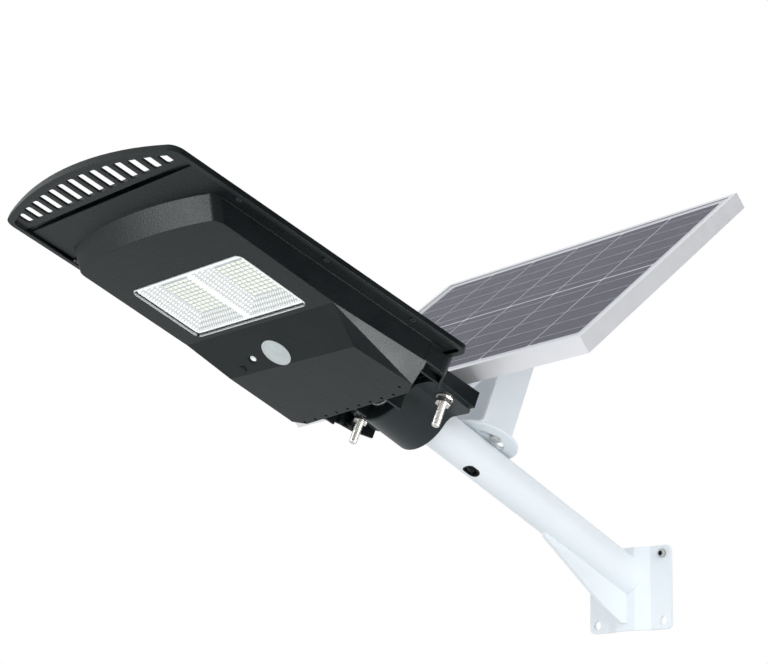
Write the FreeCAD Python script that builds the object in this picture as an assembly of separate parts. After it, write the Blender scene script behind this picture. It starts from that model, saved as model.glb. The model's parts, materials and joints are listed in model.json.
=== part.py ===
"""Solar street lamp on a wall arm: lamp head with clamp, tube arm with wall plate, solar panel.

Row frame: origin at the centre of the four wall bolts, on the wall plane.  +X leaves the
wall towards the lamp head, +Y is to the side, +Z is up.  All lengths are millimetres.
"""
import FreeCAD
import Part
import math
import os

Vec = FreeCAD.Vector
Rot = FreeCAD.Rotation
Place = FreeCAD.Placement
X, Y, Z = Vec(1, 0, 0), Vec(0, 1, 0), Vec(0, 0, 1)

# ---- driving dimensions ------------------------------------------------------------------
ARM_PITCH = 22.02          # the arm tube rises this many degrees from the wall
AXIS_AT_WALL = 15.0        # the tube axis meets the wall plane this far above the origin
TUBE_R, TUBE_WALL = 25.0, 2.0
TUBE_END = 487.0           # free end of the tube, along its axis from the wall plane

PLATE_W, PLATE_H, PLATE_T = 140.0, 110.0, 4.0
PLATE_RISE = 9.0           # how far the pressed middle of the plate stands off the wall
HOLE_PITCH_Y, HOLE_PITCH_Z, HOLE_R = 114.0, 88.0, 6.0

DISC_S, DISC_R, DISC_T = 318.0, 46.5, 4.0     # swivel disc, centred DISC_S along the tube
SLOT_R, SLOT_W, SLOT_HALF_DEG = 24.0, 8.6, 52.0
YOKE_S, YOKE_HALF, YOKE_Y, YOKE_T = 328.0, 25.0, 36.0, 3.0
PIVOT_H = 152.0            # tilt pivot above the tube axis
RUN_CLEAR = 0.05           # radial clearance of everything that turns in a hole

PANEL_L, PANEL_W, PANEL_T = 537.0, 376.5, 22.0
PANEL_TILT = 40.44         # the glass faces this many degrees forward of straight up
PANEL_X, PANEL_Z = 243.3, 342.9
SWIVEL_DEG = -1.9          # the yoke stands turned by this much on the swivel disc
CELL_L, CELL_W, CELL_GAP, ROW_GAP = 168.0, 82.0, 1.7, 5.0
CELL_COLS, CELL_ROWS, BUSBARS = 6, 2, 5

LAMP_X, LAMP_Z, LAMP_PITCH = 706.3, 254.4, 19.29   # centre of the window, and its slope
COVER_UP, COVER_PITCH = 22.9, 1.39                 # rim plane of the cover above the window
SHELL_T = 3.0
LENS_L, LENS_W, LENS_T = 104.0, 203.0, 3.0
LED_COLS, LED_ROWS, LED_PX, LED_PY = 6, 10, 8.7, 6.0
LED_DEPTH = 16.0
VENTS, VENT_PITCH, VENT_W = 14, 20.9, 13.2
VENT_TOP = 5.8             # top of the thin grille above the rim plane

CLAMP_S0, CLAMP_S1 = 414.0, 486.0                  # the saddle's ends along the tube
CLAMP_R, CLAMP_FLANGE, CLAMP_HALF_W = 46.0, 6.0, 86.0
CLAMP_GAP, CLAMP_BLEND = 0.25, 18.0
BOLT_S, BOLT_Y, BOLT_OUT = 452.0, 74.0, 40.0


# ---- frames ------------------------------------------------------------------------------
def pitched(x, z, degrees):
    """A frame at (x, 0, z) whose own X axis rises by so many degrees."""
    return Place(Vec(x, 0, z), Rot(Y, -degrees))


ARM = pitched(0, AXIS_AT_WALL, ARM_PITCH)
LAMP = pitched(LAMP_X, LAMP_Z, LAMP_PITCH)
COVER = LAMP.multiply(pitched(0, COVER_UP, -COVER_PITCH))
RAMP_DEG = math.degrees(math.atan2(17.0, 60.0))
RAMP = LAMP.multiply(pitched(-90.0, -8.5, RAMP_DEG))
SWIVEL_AXIS = ARM.multiply(Place(Vec(DISC_S, 0, 0), Rot()))
SWIVEL = SWIVEL_AXIS.multiply(Place(Vec(), Rot(Z, SWIVEL_DEG))).multiply(SWIVEL_AXIS.inverse())
YOKE = SWIVEL.multiply(ARM)
# the panel frame: X up the slope towards the wall side, Z out of the glass
PANEL = SWIVEL.multiply(Place(Vec(PANEL_X, 0, PANEL_Z), Rot(Y, PANEL_TILT).multiply(Rot(Z, 180))))


# ---- small solid helpers -----------------------------------------------------------------
def box(x0, x1, y0, y1, z0, z1):
    return Part.makeBox(x1 - x0, y1 - y0, z1 - z0, Vec(x0, y0, z0))


def cyl(r, p, d, length):
    return Part.makeCylinder(r, length, Vec(*p), d)


def prism(points, direction, length):
    """A closed polygon of 3-D points, pushed along a direction."""
    pts = [Vec(*p) for p in points]
    face = Part.Face(Part.makePolygon(pts + [pts[0]]))
    return face.extrude(Vec(direction) * length)


def hexagon(across_flats, p, d, length, spin=0.0):
    r = across_flats / math.sqrt(3.0)
    pts = [Vec(r * math.cos(math.radians(60 * k + spin)), r * math.sin(math.radians(60 * k + spin)), 0)
           for k in range(6)]
    body = Part.Face(Part.makePolygon(pts + [pts[0]])).extrude(Vec(0, 0, length))
    body.Placement = Place(Vec(*p), Rot(Z, d))
    return body


def rounded_plate(lx, ly, r, z0, z1, cx=0.0, cy=0.0):
    body = box(cx - lx / 2, cx + lx / 2, cy - ly / 2, cy + ly / 2, z0, z1)
    return body.makeFillet(r, [e for e in body.Edges if abs(e.tangentAt(e.FirstParameter).z) > 0.9])


def union(shapes):
    return shapes[0].multiFuse(shapes[1:]).removeSplitter() if len(shapes) > 1 else shapes[0]


def put(shape, place):
    out = shape.copy()
    out.Placement = place.multiply(out.Placement)
    return out


def save(name, shapes):
    """Write one node, as one solid or as a group of solids."""
    solids = [s for shape in shapes for s in shape.Solids]
    whole = solids[0] if len(solids) == 1 else Part.makeCompound(solids)
    whole.exportStep(os.path.join("parts", name + ".step"))


def nut(size, p, d):
    """A hex nut of an M size standing on p; its hole just clears the thread."""
    across, height = {8: (13.0, 6.5), 10: (17.0, 8.0)}[size]
    body = hexagon(across, p, d, height)
    dome = Part.makeSphere(across * 0.86, Vec(*p) + d * (height * 0.32))
    return body.common(dome).cut(cyl(size / 2 + 0.01, tuple(Vec(*p) - d), d, height + 2))


def washer(size, outer, p, d, t=1.6):
    return cyl(outer, p, d, t).cut(cyl(size / 2 + 0.2, tuple(Vec(*p) - d), d, t + 2))


# ---- arm ---------------------------------------------------------------------------------
def plate_outline(offset):
    """Half of the pressed plate's section, seen from above: flat ears and a raised middle."""
    half = [(70.0, 0.0), (36.0, 0.0), (16.0, PLATE_RISE)]
    return [(x + offset, y) for y, x in half] + [(x + offset, -y) for y, x in reversed(half)]


def wall_plate():
    z0 = -PLATE_H / 2
    front, back = plate_outline(PLATE_T), plate_outline(0.0)
    body = prism([(x, y, z0) for x, y in front + back[::-1]], Z, PLATE_H)
    corners = [e for e in body.Edges if abs(abs(e.CenterOfMass.y) - 70) < 0.1
               and abs(e.tangentAt(e.FirstParameter).x) > 0.9]
    body = body.makeFillet(8.0, corners)
    for sy in (-1, 1):
        for sz in (-1, 1):
            body = body.cut(cyl(HOLE_R, (-1, sy * HOLE_PITCH_Y / 2, sz * HOLE_PITCH_Z / 2), X, 20))
    return body.cut(cyl(2.5, (-1, -7.0, 50.0), X, 30))


def behind_plate():
    """Everything on the wall side of the plate's front face."""
    front = plate_outline(PLATE_T)
    pts = [(x, y, -150.0) for x, y in front] + [(-80.0, -70.0, -150.0), (-80.0, 70.0, -150.0)]
    return prism(pts, Z, 300.0)


GROMMET_S, GROMMET_ROLL = 324.5, 15.0   # cable outlet under the tube, rolled towards +Y


def outlet(length, width, h0, h1):
    """An oblong block through the tube wall at the cable outlet."""
    block = rounded_plate(length, width, width / 2 - 0.01, h0, h1)
    return put(block, Place(Vec(GROMMET_S, 0, 0), Rot(X, GROMMET_ROLL)))


def arm_tube():
    outer = cyl(TUBE_R, (-60, 0, 0), X, TUBE_END + 60)
    inner = cyl(TUBE_R - TUBE_WALL, (-61, 0, 0), X, TUBE_END + 62)
    tube = outer.cut(inner).cut(outlet(24.0, 16.0, -40, -10))
    return put(tube, ARM).cut(behind_plate())


def gusset():
    slope = math.tan(math.radians(ARM_PITCH))
    pts = [(8.0, -45.0), (24.0, -45.0), (60.0, -26.0), (171.0, 51.0), (171.0, 171.0 * slope + 10.0),
           (8.0, 8.0 * slope)]
    body = prism([(x, -2.5, z) for x, z in pts], Y, 5.0)
    return body.cut(put(cyl(TUBE_R, (-60, 0, 0), X, 400), ARM)).cut(behind_plate())


def cable_grommet():
    """A rubber liner flush with the outside of the tube, held by a lip inside it."""
    def shell(r0, r1):
        return cyl(r1, (200, 0, 0), X, 300).cut(cyl(r0, (200, 0, 0), X, 300))
    lip = outlet(28.0, 20.0, -40, -10).common(shell(TUBE_R - TUBE_WALL - 1.5, TUBE_R - TUBE_WALL - 0.02))
    sleeve = outlet(23.9, 15.9, -40, -10).common(shell(TUBE_R - TUBE_WALL - 1.0, TUBE_R))
    return put(union([lip, sleeve]).cut(outlet(20.0, 12.0, -40, -10)), ARM)


def arc_slot(sign):
    """A round-ended slot on radius SLOT_R about the swivel axis."""
    def ring(r0, r1):
        return cyl(r1, (0, 0, -10), Z, 60).cut(cyl(r0, (0, 0, -11), Z, 62))
    reach = math.radians(SLOT_HALF_DEG)
    far = 80.0
    wedge = prism([(0, 0, -10), (far * math.sin(reach), sign * far * math.cos(reach), -10),
                   (0, sign * far * 1.4, -10),
                   (-far * math.sin(reach), sign * far * math.cos(reach), -10)], Z, 60)
    body = ring(SLOT_R - SLOT_W / 2, SLOT_R + SLOT_W / 2).common(wedge)
    ends = [cyl(SLOT_W / 2, (k * SLOT_R * math.sin(reach), sign * SLOT_R * math.cos(reach), -10), Z, 60)
            for k in (-1, 1)]
    return union([body] + ends)


def swivel_disc():
    disc = cyl(DISC_R, (0, 0, TUBE_R), Z, DISC_T)
    disc = disc.makeFillet(1.2, [e for e in disc.Edges if e.BoundBox.DiagonalLength > DISC_R
                                 and e.BoundBox.ZLength < 0.1])
    disc = disc.cut(arc_slot(1)).cut(arc_slot(-1))
    stud = cyl(5.0, (0, 0, TUBE_R + DISC_T - 0.5), Z, 16.5)
    foot = box(-26, 26, -6, 6, TUBE_R - 1.2, TUBE_R + 0.5).cut(cyl(TUBE_R, (-200, 0, 0), X, 400))
    return put(union([disc, stud, foot]), ARM.multiply(Place(Vec(DISC_S, 0, 0), Rot())))


# ---- yoke between the arm and the panel --------------------------------------------------
def leg(sign):
    y0 = sign * YOKE_Y - (YOKE_T if sign > 0 else 0)
    base = TUBE_R + DISC_T
    plate = box(YOKE_S - YOKE_HALF, YOKE_S + YOKE_HALF, y0, y0 + YOKE_T, base, PIVOT_H)
    top = cyl(YOKE_HALF, (YOKE_S, y0, PIVOT_H), Y, YOKE_T)
    eye = cyl(4.0 + RUN_CLEAR, (YOKE_S, y0 - 1, PIVOT_H), Y, YOKE_T + 2)
    return union([plate, top]).cut(eye)


def panel_yoke():
    base_h = TUBE_R + DISC_T
    base = box(YOKE_S - YOKE_HALF, YOKE_S + YOKE_HALF, -YOKE_Y, YOKE_Y, base_h, base_h + YOKE_T)
    body = union([base, leg(-1), leg(1)])
    body = body.cut(cyl(5.0 + RUN_CLEAR, (DISC_S, 0, base_h - 1), Z, 8))
    for sy in (-1, 1):
        body = body.cut(cyl(4.2, (DISC_S, sy * SLOT_R, base_h - 1), Z, 8))
    return put(body, YOKE)


def yoke_bolts():
    out = []
    for sy in (-1, 1):
        p = (DISC_S, sy * SLOT_R, TUBE_R - 3.2)
        head = cyl(7.0, p, Z, 3.2)
        head = head.makeFillet(2.0, [e for e in head.Edges if e.BoundBox.ZMax < p[2] + 0.01])
        out.append(put(union([head, cyl(4.0, p, Z, 22.0)]), YOKE))
    return out


def yoke_nuts():
    h = TUBE_R + DISC_T + YOKE_T + 1.6
    out = [put(nut(8, (DISC_S, sy * SLOT_R, h), Z), YOKE) for sy in (-1, 1)]
    return out + [put(nut(10, (DISC_S, 0, h), Z).cut(cyl(5.0, (DISC_S, 0, h - 1), Z, 12)), YOKE)]


def yoke_washers():
    h = TUBE_R + DISC_T + YOKE_T
    small = [put(washer(8, 8.0, (DISC_S, sy * SLOT_R, h), Z), YOKE) for sy in (-1, 1)]
    return small + [put(washer(10, 10.5, (DISC_S, 0, h), Z), YOKE)]


# ---- panel -------------------------------------------------------------------------------
LIP, GLASS_T, SHEET_T = 0.6, 3.2, 0.6
HALF_X, HALF_Y = PANEL_W / 2, PANEL_L / 2


def rail_section(edge):
    """Frame extrusion section for an outer edge at distance `edge`: (distance, height)."""
    e, b = edge, -PANEL_T
    return [(e, 0), (e - 7.5, 0), (e - 7.5, -LIP), (e - 1.8, -LIP), (e - 1.8, -LIP - 4.6),
            (e - 9.0, -LIP - 4.6), (e - 9.0, -LIP - 6.1), (e - 1.8, -LIP - 6.1), (e - 1.8, b + 1.6),
            (e - 22.0, b + 1.6), (e - 22.0, b), (e, b)]


def frame_rail(along_y, sign):
    """One mitred side of the frame."""
    half, reach = (HALF_X, HALF_Y) if along_y else (HALF_Y, HALF_X)
    section = [(sign * d, h) for d, h in rail_section(half)]
    inner = half - 30.0
    if along_y:
        bar = prism([(d, -reach, h) for d, h in section], Y, 2 * reach)
        mitre = [(sign * half, -reach), (sign * half, reach),
                 (sign * inner, reach - 30), (sign * inner, -reach + 30)]
    else:
        bar = prism([(-reach, d, h) for d, h in section], X, 2 * reach)
        mitre = [(-reach, sign * half), (reach, sign * half),
                 (reach - 30, sign * inner), (-reach + 30, sign * inner)]
    bar = bar.common(prism([(x, y, -PANEL_T - 1) for x, y in mitre], Z, PANEL_T + 2))
    if along_y:
        for sy in (-1, 1):
            bar = bar.cut(cyl(3.3, (sign * (half - 12.0), sy * RAIL_BOLT_Y, -PANEL_T - 1), Z, 4))
    return put(bar, PANEL)


def corner_keys():
    out = []
    for sx in (-1, 1):
        for sy in (-1, 1):
            cx, cy = sx * (HALF_X - 1.8), sy * (HALF_Y - 1.8)
            arms = [box(*sorted((cx, cx - sx * 28)), *sorted((cy, cy - sy * 2.5)), -PANEL_T + 1.6, -LIP - 6.1),
                    box(*sorted((cx, cx - sx * 2.5)), *sorted((cy, cy - sy * 28)), -PANEL_T + 1.6, -LIP - 6.1)]
            out.append(put(union(arms), PANEL))
    return out


def laminate(top, thickness):
    return put(rounded_plate(PANEL_W - 4.0, PANEL_L - 4.0, 1.0, top - thickness, top), PANEL)


def cell_centres():
    for row in range(CELL_ROWS):
        for col in range(CELL_COLS):
            yield ((row - (CELL_ROWS - 1) / 2) * (CELL_L + ROW_GAP),
                   (col - (CELL_COLS - 1) / 2) * (CELL_W + CELL_GAP))


CELL_TOP = -LIP - GLASS_T - 0.1


def solar_cells():
    out = []
    for cx, cy in cell_centres():
        body = box(cx - CELL_L / 2, cx + CELL_L / 2, cy - CELL_W / 2, cy + CELL_W / 2,
                   CELL_TOP - 0.3, CELL_TOP)
        out.append(put(body, PANEL))
    return out


def cell_ribbons():
    """Tinned ribbons that run across all cells of a row, and the two collecting strips."""
    out = []
    run = CELL_COLS * (CELL_W + CELL_GAP) / 2 + 6
    for row in range(CELL_ROWS):
        cx = (row - (CELL_ROWS - 1) / 2) * (CELL_L + ROW_GAP)
        for k in range(BUSBARS):
            x = cx + (k - (BUSBARS - 1) / 2) * CELL_L / BUSBARS
            out.append(put(box(x - 0.6, x + 0.6, -run, run, CELL_TOP, CELL_TOP + 0.1), PANEL))
    for sy in (-1, 1):
        y = sorted((sy * run, sy * (run + 4)))
        out.append(put(box(-CELL_L - 1, CELL_L + 1, y[0], y[1], CELL_TOP, CELL_TOP + 0.1), PANEL))
    return out


RAIL_BOLT_Y = 50.0
PIVOT_LOCAL = PANEL.inverse().multVec(YOKE.multVec(Vec(YOKE_S, 0, PIVOT_H)))


def mount_rail(sign):
    """Angle bar under the frame with an ear for the tilt pivot."""
    y_in, y_out = YOKE_Y + 0.4, YOKE_Y + 28.0
    flat = box(-HALF_X + 2, HALF_X - 2, *sorted((sign * y_in, sign * y_out)), -PANEL_T - 3, -PANEL_T)
    web_y = sorted((sign * y_in, sign * (y_in + 3)))
    web = box(-HALF_X + 2, HALF_X - 2, *web_y, -PANEL_T - 18, -PANEL_T)
    px, pz = PIVOT_LOCAL.x, PIVOT_LOCAL.z
    ear = box(px - 18, px + 18, *web_y, pz, -PANEL_T)
    tip = cyl(18, (px, web_y[0], pz), Y, 3)
    body = union([flat, web, ear, tip]).cut(cyl(4.02, (px, web_y[0] - 1, pz), Y, 5))
    for sx in (-1, 1):
        body = body.cut(cyl(3.3, (sx * (HALF_X - 12.0), sign * RAIL_BOLT_Y, -PANEL_T - 5), Z, 8))
    return put(body, PANEL)


def rail_bolts():
    out = []
    for sx in (-1, 1):
        for sy in (-1, 1):
            x, y = sx * (HALF_X - 12.0), sy * RAIL_BOLT_Y
            head = hexagon(10.0, (x, y, -PANEL_T - 3), -Z, 4.0)
            out.append(put(union([head, cyl(3.0, (x, y, -PANEL_T - 3.5), Z, 12.0)]), PANEL))
    return out


def rail_nuts():
    out = []
    for sx in (-1, 1):
        for sy in (-1, 1):
            p = (sx * (HALF_X - 12.0), sy * RAIL_BOLT_Y, -PANEL_T + 1.6)
            out.append(put(hexagon(10.0, p, Z, 5.0).cut(cyl(3.01, p, Z, 6)), PANEL))
    return out


def tilt_bolts():
    out = []
    for sy in (-1, 1):
        d = Y * -sy
        y_head = sy * (YOKE_Y + 3.4)
        head = hexagon(13.0, (PIVOT_LOCAL.x, y_head, PIVOT_LOCAL.z), Y * sy, 5.3)
        shank = cyl(4.0, (PIVOT_LOCAL.x, y_head + 0.5 * sy, PIVOT_LOCAL.z), d, 19.5)
        out.append(put(union([head, shank]), PANEL))
    return out


def tilt_nuts():
    out = []
    for sy in (-1, 1):
        p = (PIVOT_LOCAL.x, sy * (YOKE_Y - YOKE_T - 1.7), PIVOT_LOCAL.z)
        out.append(put(nut(8, p, Y * -sy), PANEL))
    return out


def tilt_washers():
    out = []
    for sy in (-1, 1):
        p = (PIVOT_LOCAL.x, sy * (YOKE_Y - YOKE_T - 0.1), PIVOT_LOCAL.z)
        out.append(put(washer(8, 8.0, p, Y * -sy), PANEL))
    return out


BOX_X, BOX_TOP = 118.0, CELL_TOP - 0.3 - SHEET_T     # junction box high on the back of the panel


def junction_box():
    outer = rounded_plate(58, 74, 5, BOX_TOP - 15, BOX_TOP, BOX_X)
    inner = rounded_plate(53, 69, 3, BOX_TOP - 16, BOX_TOP - 2, BOX_X)
    hole = cyl(5.0, (BOX_X - 40, 0, BOX_TOP - 8), X, 20)
    return put(outer.cut(inner).cut(hole), PANEL)


def junction_lid():
    plate = rounded_plate(58, 74, 5, BOX_TOP - 17.5, BOX_TOP - 15, BOX_X)
    plug = rounded_plate(52.6, 68.6, 2.8, BOX_TOP - 15.5, BOX_TOP - 13, BOX_X)
    return put(union([plate, plug]), PANEL)


def junction_gland():
    z, x = BOX_TOP - 8, BOX_X - 29
    body = union([cyl(4.95, (x + 3.5, 0, z), -X, 6), hexagon(13.0, (x, 0, z), -X, 4.0),
                  cyl(6.0, (x - 3.5, 0, z), -X, 7)])
    return put(body.cut(cyl(2.8, (x + 5, 0, z), -X, 20)), PANEL)


# ---- lamp head: cover --------------------------------------------------------------------
COVER_SECTIONS = [(240.0, 3.0), (171.0, 6.0), (120.0, 20.0), (60.0, 33.0), (-240.0, 30.0)]
RIM_H = 6.5
REAR_U = -232.0
SOLID_U = 176.0             # the cover is solid in front of this, where the vents are


def half_width(u):
    """The cover is a little narrower at its front end."""
    return 164.5 + (200.0 - u) * 7.0 / 430.0


def crowned(inset, drop, sections):
    """A long arched body with straight low sides, a little larger than the plan that trims it."""
    wires = []
    for u, crown in sections:
        w, side = half_width(u) - inset + 0.4, RIM_H - drop * 0.6
        low = -3.0
        top = RIM_H + crown - drop
        pts = [Vec(u, -w, low), Vec(u, -w, side), Vec(u, w, side), Vec(u, w, low)]
        arc = Part.Arc(pts[1], Vec(u, 0, top), pts[2]).toShape()
        lines = [Part.makeLine(pts[0], pts[1]), arc, Part.makeLine(pts[2], pts[3]),
                 Part.makeLine(pts[3], pts[0])]
        wires.append(Part.Wire(lines))
    return Part.makeLoft(wires, True, True)


def front_plan(inset, z0, z1):
    """Plan outline with the arched front, straight tapering sides and rounded corners."""
    w0, w1 = half_width(200.0) - inset, half_width(REAR_U) - inset
    apex, side_u = 227.0 - inset, 200.0 - inset
    rear = REAR_U + inset
    arc = Part.Arc(Vec(side_u, -w0, z0), Vec(apex, 0, z0), Vec(side_u, w0, z0)).toShape()
    lines = [Part.makeLine(Vec(side_u, w0, z0), Vec(rear, w1, z0)),
             Part.makeLine(Vec(rear, w1, z0), Vec(rear, -w1, z0)),
             Part.makeLine(Vec(rear, -w1, z0), Vec(side_u, -w0, z0))]
    body = Part.Face(Part.Wire([arc] + lines)).extrude(Vec(0, 0, z1 - z0))
    for at_rear, radius in ((False, 16.0), (True, 12.0)):
        side = w1 if at_rear else w0
        edges = [e for e in body.Edges if abs(e.tangentAt(e.FirstParameter).z) > 0.9
                 and (e.CenterOfMass.x < 0) == at_rear and abs(abs(e.CenterOfMass.y) - side) < 1]
        body = body.makeFillet(max(radius - inset, 4.0), edges)
    return body


def neck_body():
    """The rear neck, in the arm frame: wide and low, arched over the tube."""
    wires = []
    for s, side, mid in ((CLAMP_S0, 22.0, 31.0), (680.0, 4.0, 20.0)):
        w = CLAMP_HALF_W
        a, b, c, d = (Vec(s, -w, CLAMP_GAP), Vec(s, -w, side), Vec(s, w, side), Vec(s, w, CLAMP_GAP))
        wires.append(Part.Wire([Part.makeLine(a, b), Part.Arc(b, Vec(s, 0, mid), c).toShape(),
                                Part.makeLine(c, d), Part.makeLine(d, a)]))
    return Part.makeLoft(wires, True, True)


def vent_slots():
    out = []
    for k in range(VENTS):
        v = (k - (VENTS - 1) / 2) * VENT_PITCH
        front = 227.0 - v * v / 1090.0 - 11.0
        start = 183.0
        out.append(rounded_plate(front - start, VENT_W, 3.0, 2.6, 40.0, (front + start) / 2, v))
    return out


def top_cover():
    outer = crowned(0.0, 0.0, COVER_SECTIONS).common(front_plan(0.0, 0.0, 80.0))
    cavity = crowned(SHELL_T, SHELL_T, COVER_SECTIONS).common(front_plan(SHELL_T, 2.5, 80.0))
    cavity = cavity.common(box(-300, SOLID_U, -200, 200, -10, 90))
    mouth = front_plan(7.0, -1.0, 3.0)
    slots = vent_slots()
    slots = slots[0].multiFuse(slots[1:])
    neck = put(neck_body(), COVER.inverse().multiply(ARM))
    tray = front_plan(9.0, VENT_TOP, 80.0).common(box(SOLID_U + 4.0, 240, -158, 158, VENT_TOP, 80))
    bosses = [cyl(4.2, (u, s * (half_width(u) - SCREW_IN), 5.25), Z, 40).common(outer)
              for u, s in HOUSING_SCREWS]
    body = outer.fuse(neck).cut(cavity).cut(mouth).cut(tray).cut(slots).multiFuse(bosses)
    for u, s in HOUSING_SCREWS:
        body = body.cut(cyl(1.8, (u, s * (half_width(u) - SCREW_IN), 4.0), Z, 4.0))
    body = put(body, ARM.inverse().multiply(COVER))
    body = body.cut(cyl(TUBE_R + RUN_CLEAR, (400, 0, 0), X, CLAMP_S1 + 4 - 400))
    for y0, y1 in ((-82, -70), (-66, -10), (-6, 50), (54, 82)):
        body = body.cut(box(CLAMP_S1 + 4, 516, y0, y1, -2, 13))
    for sy in (-1, 1):
        p = (BOLT_S, sy * BOLT_Y, -5)
        body = body.cut(cyl(5.3, p, Z, 60)).cut(cyl(11.3, (BOLT_S, sy * BOLT_Y, 12), Z, 40))
        for s0, s1 in ((418, 438), (466, 486)):
            for y0, y1 in ((40, 60), (64, 82)):
                body = body.cut(box(s0, s1, *sorted((sy * y0, sy * y1)), -2, 11))
    return put(body.removeSplitter(), ARM)


# ---- lamp head: bottom housing -----------------------------------------------------------
TUB_TOP, TUB_LIFT = 36.0, 25.0     # the walls' slopes are given over TUB_LIFT


def tub_ring(t, w):
    """A plan outline at height w: arched front with rounded corners, straight sides, bevelled rear."""
    k = w / TUB_LIFT
    side_u, apex, front_v = 108.0 + 18.0 * k - t, 120.0 + 22.0 * k - t, 134.0 + 3.5 * k - t
    rear_v, bevel_u, rear_u = 136.0 + 4.5 * k - t, -205.5 + 3.5 * k + t, -214.4 + 7.9 * k + t
    mid = rear_u - 3.0 * (1.0 - k)
    rear = [(bevel_u, rear_v), (rear_u, 100.0 - 0.6 * t), (mid, 40.0)]
    pts = [(side_u, front_v)] + rear
    pts += [(u, -v) for u, v in reversed(pts)]
    pts = [Vec(u, v, w) for u, v in pts]
    front = Part.Arc(pts[-1], Vec(apex, 0, w), pts[0]).toShape()
    return Part.Wire([front] + [Part.makeLine(p, q) for p, q in zip(pts, pts[1:])])


def deep_section(t):
    """The deeper rear part: a ramp, a flat floor, a sloping facet on each side, a bevelled rear.

    The floor's rear edge runs a little slanted: it reaches further back on the -Y side."""
    z = -17.0 + t
    back = t * math.tan(math.radians(RAMP_DEG) / 2)      # keeps the ramp's wall t thick
    top_u, high_u = -60.0 - back, -204.6 + t

    def top(u):
        return t + 7.5 * (top_u - u) / (top_u - high_u)

    def rear(v):
        return REAR_EDGE + REAR_SLANT * v + t

    pts = {"t": (top_u, 134.9 - t, t), "l": (-120.0 - back, 113.0 - 0.6 * t, z),
           "a": (-208.0 + 0.8 * t, 119.5 - 0.8 * t, z), "b": (None, 100.0 - 0.6 * t, z),
           "m": (None, 40.0, z), "h": (high_u, 137.2 - t, top(high_u)),
           "c": (-211.8 + t, 99.8 - 0.6 * t, top(-211.8 + t)), "n": (-214.6 + t, 40.0, top(-214.6 + t))}

    def at(key, sign):
        u, v, w = pts[key]
        if u is None:
            u = rear(sign * v)
        if key == "a" and sign < 0:
            u, v = u - 18.0, v - 3.0
        return Vec(u, sign * v, w)

    def face(*corners):
        return Part.Face(Part.makePolygon(list(corners) + [corners[0]]))

    faces = [face(at("t", -1), at("t", 1), at("l", 1), at("l", -1)),
             face(*[at(k, 1) for k in "labm"], *[at(k, -1) for k in "mbal"]),
             face(at("m", -1), at("m", 1), at("n", 1)), face(at("m", -1), at("n", 1), at("n", -1)),
             face(*[at(k, 1) for k in "thcn"], *[at(k, -1) for k in "ncht"])]
    for s in (-1, 1):
        for tri in ("tla", "tah", "abc", "ach", "bmn", "bnc"):
            faces.append(face(*[at(k, s) for k in tri]))
    return Part.makeSolid(Part.makeShell(faces)), pts


REAR_EDGE, REAR_SLANT = -228.6, 0.081


def facet_trim(pts, sign):
    """Everything outside the plane of the side facet, so the wall ends on it."""
    t, a, h = (Vec(pts[k][0], sign * pts[k][1], pts[k][2]) for k in "tah")
    if sign < 0:
        a = a + Vec(-18.0, 3.0, 0)
    n = (a - t).cross(h - t)
    n = n * (1.0 / n.Length)
    if n.y * sign < 0:
        n = n * -1.0
    block = box(-400, 400, -400, 400, 0, 60)
    block.Placement = Place(t, Rot(Z, n))
    return block


def tub(t):
    """The hanging tub, with all of its faces moved in by t."""
    walls = Part.makeLoft([tub_ring(t, TUB_TOP), tub_ring(t, t)], True, True)
    corners = [e for e in walls.Edges if e.BoundBox.ZLength > 20 and e.CenterOfMass.x > 50]
    walls = walls.makeFillet(12.0 - t, corners)
    deep, pts = deep_section(t)
    body = walls.fuse(deep)
    for sign in (-1, 1):
        body = body.cut(facet_trim(pts, sign))
    return body.removeSplitter()


def floor_plate():
    """Flat flange around the tub, resting against the underside of the cover."""
    w0, w1 = half_width(169.0) - 9.5, half_width(REAR_U) - 9.5
    pts = [(169.0, -w0), (169.0, w0), (REAR_U + 8, w1), (REAR_U + 8, -w1)]
    return prism([(x, y, 3.0) for x, y in pts], Z, 2.2)


LENS_OPEN_L, LENS_OPEN_W = LENS_L - 6.0, LENS_W - 6.0
PIR_X, PIR_Y, PIR_R = -11.8, -6.2, 19.2
LIGHT_X, LIGHT_Y = -12.5, -51.0
BUTTON_X, BUTTON_Y, BUTTON_R = -22.0, -79.0, 4.5
HOUSING_SCREWS = [(105.0, 1), (105.0, -1), (-20.0, 1), (-20.0, -1), (-153.0, 1), (-153.0, -1)]
SCREW_IN = 11.2            # the screws stand this far inside the cover's edge


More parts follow.
